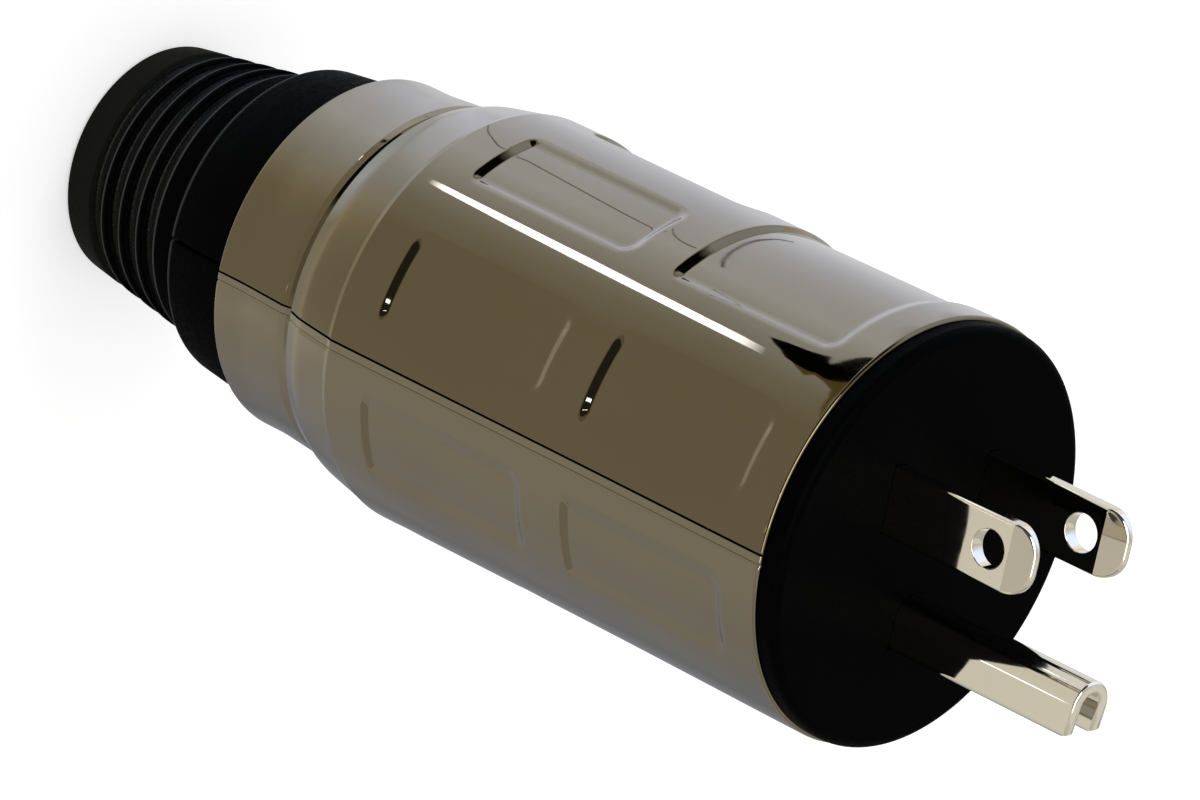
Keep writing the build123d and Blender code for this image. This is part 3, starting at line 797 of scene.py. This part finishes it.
def make_floor_reflector():
    """The table as the barrel mirrors it: bright and cool at +Y, plain at -X and dim at -Y."""
    stops = [(60, 1.0, 0.0), (72, 0.67, 0.0), (84, 1.22, 0.14), (100, 1.8, 0.35), (116, 2.2, 0.53),
             (130, 1.5, 0.36), (137, 1.15, 0.05), (146, 0.94, -0.17), (190, 0.97, -0.12), (212, 0.7, 0.0),
             (230, 0.32, 0.12), (244, 0.27, 0.12), (256, 1.0, 0.0)]
    turns, bright, cool = np.array(stops).T
    heights = np.array([0.8, 4, 8, 12, 16, 20, 24, 29, 40, 60, 80, 98, 103, 125, 145, 170])
    far = bright[:, None] * np.column_stack([np.ones(len(turns)), 1 + 0.24 * cool, 1 + cool])
    close = np.outer(fade(heights, (2, 0.0), (8, 0.5), (14, 0.8), (26, 0.0)),
                     fade(turns, (128, 0.0), (148, 1.0), (180, 1.0), (200, 0.5)))
    glow = far * (1 + close[..., None] * (0.75, 0.75, 0.7))
    # The shoulder mirrors the nearest part and the neck the next, and each has its own shade
    shoulder = np.outer(fade(heights, (20, 1.0), (30, 0.0)),
                        fade(turns, (72, 0.0), (84, 0.32), (98, 0.32), (108, 0.25), (126, 0.22), (132, -0.07),
                             (138, -0.2), (150, 0.0)))
    neck = np.outer(fade(heights, (20, 0.0), (24, 1.0), (29, 1.0), (38, 0.0)),
                    fade(turns, (88, 0.0), (100, -0.16), (114, -0.11), (138, -0.11), (152, 0.0)))
    glow *= 1 - (shoulder + neck)[..., None] * (1.0, 1.05, 1.3)
    # What lies beyond the barrel's own picture shows in the front pieces, and is held to a plain level
    beyond = fade(heights, (98, 0.0), (103, 1.0))[:, None, None]
    glow = glow * (1 - beyond) + np.minimum(glow, 1.05) * beyond
    points = [[mirrored_at(turn, z, REFLECTOR_LEVEL) for turn in turns] for z in heights]
    grid_card("floor_reflector", points, glow)


def make_far_boards():
    """Boards on the table further out: light at -Y, black at +Y and grey at -X."""
    turns = np.arange(0, 361, 4.0)
    level = fade(turns, (0, 1.4), (76, 1.4), (82, 0.02), (134, 0.02), (142, 0.65), (176, 0.65), (182, 0.75),
                 (214, 0.75), (222, 1.0), (360, 1.0))
    points = [cylindrical(reach, np.radians(turns), BOARD_LEVEL) for reach in (226, 890)]
    grid_card("far_boards", points, [level[:, None] * (1.0, 0.94, 0.84)] * 2)


def make_dark_room():
    """Walls and ceiling as shiny surfaces see them: black at +Y, dim at -X, and light at -Y and high up."""
    reach, black = 900.0, 0.005
    levels = [0.0, 55.0, 110.0, 180.0, 320.0, 600.0, 680.0, 760.0]
    turns = np.arange(0, 361, 4.0)
    cool = fade(turns, (0, 0.0), (20, 0.6), (72, 0.6), (80, -0.15), (360, -0.1))
    low = fade(turns, (0, 0.9), (30, 1.35), (72, 1.35), (78, 0.02), (134, 0.02), (142, 0.6), (188, 0.6),
               (194, 0.9), (212, 0.9), (222, 0.7), (360, 0.7))
    high = fade(turns, (0, 0.9), (30, 1.35), (72, 1.35), (78, 0.01), (104, 0.01), (112, 0.1), (188, 0.1),
                (194, 0.9), (212, 0.9), (222, 0.7), (360, 0.7))
    points, glow = [], []
    for level in levels:
        rise = fade(level, (55, 0.0), (110, 1.0))
        side = np.maximum(low * (1 - rise) + high * rise, fade(level, (600, 0.0), (680, 0.85)))
        points.append(cylindrical(reach, np.radians(turns), level))
        glow.append(black + np.column_stack([side, side * (1 + 0.3 * cool), side * (1 + cool)]))
    for share in (0.5, 0.02):
        points.append(cylindrical(reach * share, np.radians(turns), levels[-1]))
        glow.append([(0.8, 0.78, 0.74)] * len(turns))
    grid_card("dark_room", points, glow)


def smoothed(path):
    """A path with its corners cut three times, between the same ends."""
    for _ in range(3):
        early, late = path[:-1] * 0.75 + path[1:] * 0.25, path[:-1] * 0.25 + path[1:] * 0.75
        path = np.concatenate([path[:1], np.stack([early, late], 1).reshape(-1, 2), path[-1:]])
    return path


def ribbon(name, path, width, glow):
    """A narrow card that shows as a line along a path of (angle, height) places on the barrel."""
    skin = (radians(1) * BARREL_R, 1)
    middle = smoothed(np.asarray(path, float)) * skin
    along = np.gradient(middle, axis=0)
    across = np.stack([-along[:, 1], along[:, 0]], 1) / np.linalg.norm(along, axis=1)[:, None] * width / 2
    sides = [(middle + k * across) / skin for k in (-1, 1)]
    points = [[mirrored_at(turn, z, FRAME_LEVEL) for turn, z in side] for side in sides]
    grid_card(name, points, np.tile(glow, (2 * len(middle), 1)))


def make_softbox_frame():
    """The softbox's frame, which shows as thin lines in the barrel's top panels."""
    pale, dim = (0.8, 0.75, 0.7), (0.4, 0.37, 0.33)
    along = [(104.5, 44), (107.5, 45), (109.5, 46.5), (111, 47.8), (109.2, 49.8), (109.6, 52), (110.5, 57),
             (111.8, 64), (112, 67.5)]
    end = [(109, 68.5), (112, 69.5), (113.5, 71), (113.2, 72.8)]
    across = [(114, 76.0), (112, 75.4), (107, 74.85), (101.5, 74.65), (96, 74.8), (90.8, 75.4), (87.5, 76.4)]
    ribbon("softbox_frame_0", along, 0.16, pale)
    ribbon("softbox_frame_1", end, 0.16, pale)
    ribbon("softbox_frame_2", across, 0.3, dim)


def make_light_strip():
    """The bright strip along the barrel, as (angle, height, half width, share of its light)."""
    rows = [(130.6, 45.4, 0.7, 0.0), (130.75, 47.4, 0.85, 1.0), (131.1, 53, 0.95, 1.0), (131.6, 61, 1.0, 1.0),
            (132.4, 76, 1.0, 1.0), (132.85, 84.0, 1.0, 1.0), (133.1, 87.4, 0.95, 0.0)]
    light = np.array([12.0, 13.5, 20.0])
    points = [[mirrored_at(turn + k * half, z, STRIP_LEVEL) for k in (-1, 1)] for turn, z, half, _ in rows]
    grid_card("strip", points, [[light * share + (1 - share)] * 2 for *_, share in rows])


def make_flag():
    """The black flag at the barrel's front end and its gold edge, as (height, near angle, far angle)."""
    black = [(86.7, 128.7, 128.8), (88, 128.2, 130.4), (89.5, 127.8, 132.1), (91, 127.5, 132.6),
             (92.5, 126.8, 132.9), (93.1, 126.2, 132.4), (93.65, 128.5, 132.7), (94.2, 127, 132.8),
             (95, 124.3, 132.6), (96, 121.8, 131.7), (96.7, 120.9, 130.7), (98.5, 119, 130.7)]
    gold = [(90.5, 132.4, 132.5), (92.3, 132.8, 134.3), (93.2, 132.3, 133), (94.3, 132.7, 133.5),
            (95.6, 132, 134.6), (96.5, 130.8, 138.8), (98.5, 130.6, 146)]
    for name, rows, glow in (("flag", black, (0.005, 0.005, 0.005)), ("flag_edge", gold, (0.5, 0.38, 0.16))):
        points = [[mirrored_at(turn, z, FLAG_LEVEL) for turn in ends] for z, *ends in rows]
        grid_card(name, points, np.tile(glow, (2 * len(rows), 1)))


def make_pin_strips():
    """Two light strips on the table, which show as thin lines along the ground pin."""
    half_width = 3.0
    strips = {"pin_strip_top": ((10, 152.5), (-25.5, 165.5)),
              "pin_strip_side": ((-153.5, -22.0), (-180.7, -15.0))}
    for name, ends in strips.items():
        start, end = np.array(ends)
        across = np.array([end[1] - start[1], start[0] - end[0]]) / np.linalg.norm(end - start) * half_width
        places = (start - across, start + across, end + across, end - across)
        corners = [(*place, STRIP_LEVEL) for place in places]
        glow_card(name, corners, [(0, 1, 2, 3)], (6.0, 6.0, 6.0))


def make_high_cards():
    """The overhead panel, the high curved rim light on the camera's side and the small lamp."""
    low_x, high_x, low_y, high_y, level = -780, 640, -330, -70, 520
    panel = [(low_x, low_y, level), (high_x, low_y, level), (high_x, high_y, level), (low_x, high_y, level)]
    glow_card("overhead", panel, [(0, 1, 2, 3)], (1.0, 0.97, 0.92))
    rim = [cylindrical(420, np.radians(range(112, 212, 6)), level) for level in (330, 740)]
    grid_card("rim_light", rim, np.full(np.shape(rim), 6.0))
    (x, y, z), wide, tall = (-842, 158, 478), 14, 40
    lamp = [(x, y - wide, z - tall), (x, y + wide, z - tall), (x, y + wide, z + tall), (x, y - wide, z + tall)]
    glow_card("small_lamp", lamp, [(0, 1, 2, 3)], (12.0, 14.0, 20.0))


def make_cards():
    """Reflectors, flags and small lights round the plug, seen only by shiny surfaces."""
    make_floor_reflector()
    make_far_boards()
    make_dark_room()
    make_softbox_frame()
    make_light_strip()
    make_flag()
    make_pin_strips()
    make_high_cards()


def make_camera():
    """The camera of the photograph."""
    data = bpy.data.cameras.new("camera")
    data.lens, data.sensor_width = CAMERA_LENS, CAMERA_SENSOR
    data.clip_start, data.clip_end = 0.05, 60
    camera = add_object("camera", data)
    turn = Euler([radians(a) for a in CAMERA_TURN_DEG]).to_matrix().to_4x4()
    camera.matrix_world = Matrix.Translation(Vector(CAMERA_PLACE) * MM) @ turn
    bpy.context.scene.camera = camera


# The scene

bpy.context.scene.view_settings.view_transform = "Standard"
make_camera()

dress_inner_nodes()
upper_metal = mirror_metal("upper_shell_metal", (0.112, 0.091, 0.053), (0.121, 0.099, 0.059),
                           ripple=0.015, polish=0.018, haze=0.045)
lower_metal = mirror_metal("lower_shell_metal", (0.165, 0.141, 0.102), (0.178, 0.152, 0.112),
                           ripple=0.02, polish=0.03, haze=0.07)
plating = mirror_metal("nickel_plating", (0.56, 0.525, 0.45), (0.62, 0.585, 0.505),
                       ripple=0.04, polish=0.03, haze=0.08)
# The collar's base colour carries a painted highlight ring just past its rear edge
collar_nylon = moulded("collar_nylon", (0.001, 0.0011, 0.0011), grain_scale=2300, grain_depth=0.00005,
                       roughness=(0.45, 0.65), specular=0.0065, highlight_rings=([COLLAR_REAR_Z + 0.3], 0.35))
face_nylon = moulded("face_nylon", (0.0004, 0.0005, 0.0006), grain_scale=3000, grain_depth=0.00003,
                     roughness=(0.4, 0.55), specular=0.007)
dress("face_insulator", face_nylon)

make_shell(1, "upper_shell", upper_metal)
bore_screw_holes(make_shell(-1, "lower_shell", lower_metal))
make_boot("cord_boot", boot_rubber())
make_collar(1, "upper_collar", collar_nylon)
make_collar(-1, "lower_collar", collar_nylon)
make_blade(-1, "line_blade", plating)
make_blade(1, "neutral_blade", plating)
make_ground_pin("ground_pin", plating)

make_floor()
make_world()
make_cards()
make_lamp("key", (50, 420, 200), 0.5, (0.95, 0.98, 1.0))
make_lamp("fill", (-400, -150, 220), 0.26, (1.0, 0.98, 0.95))
make_lamp("back", (380, -200, 300), 0.2, (1.0, 1.0, 1.0))
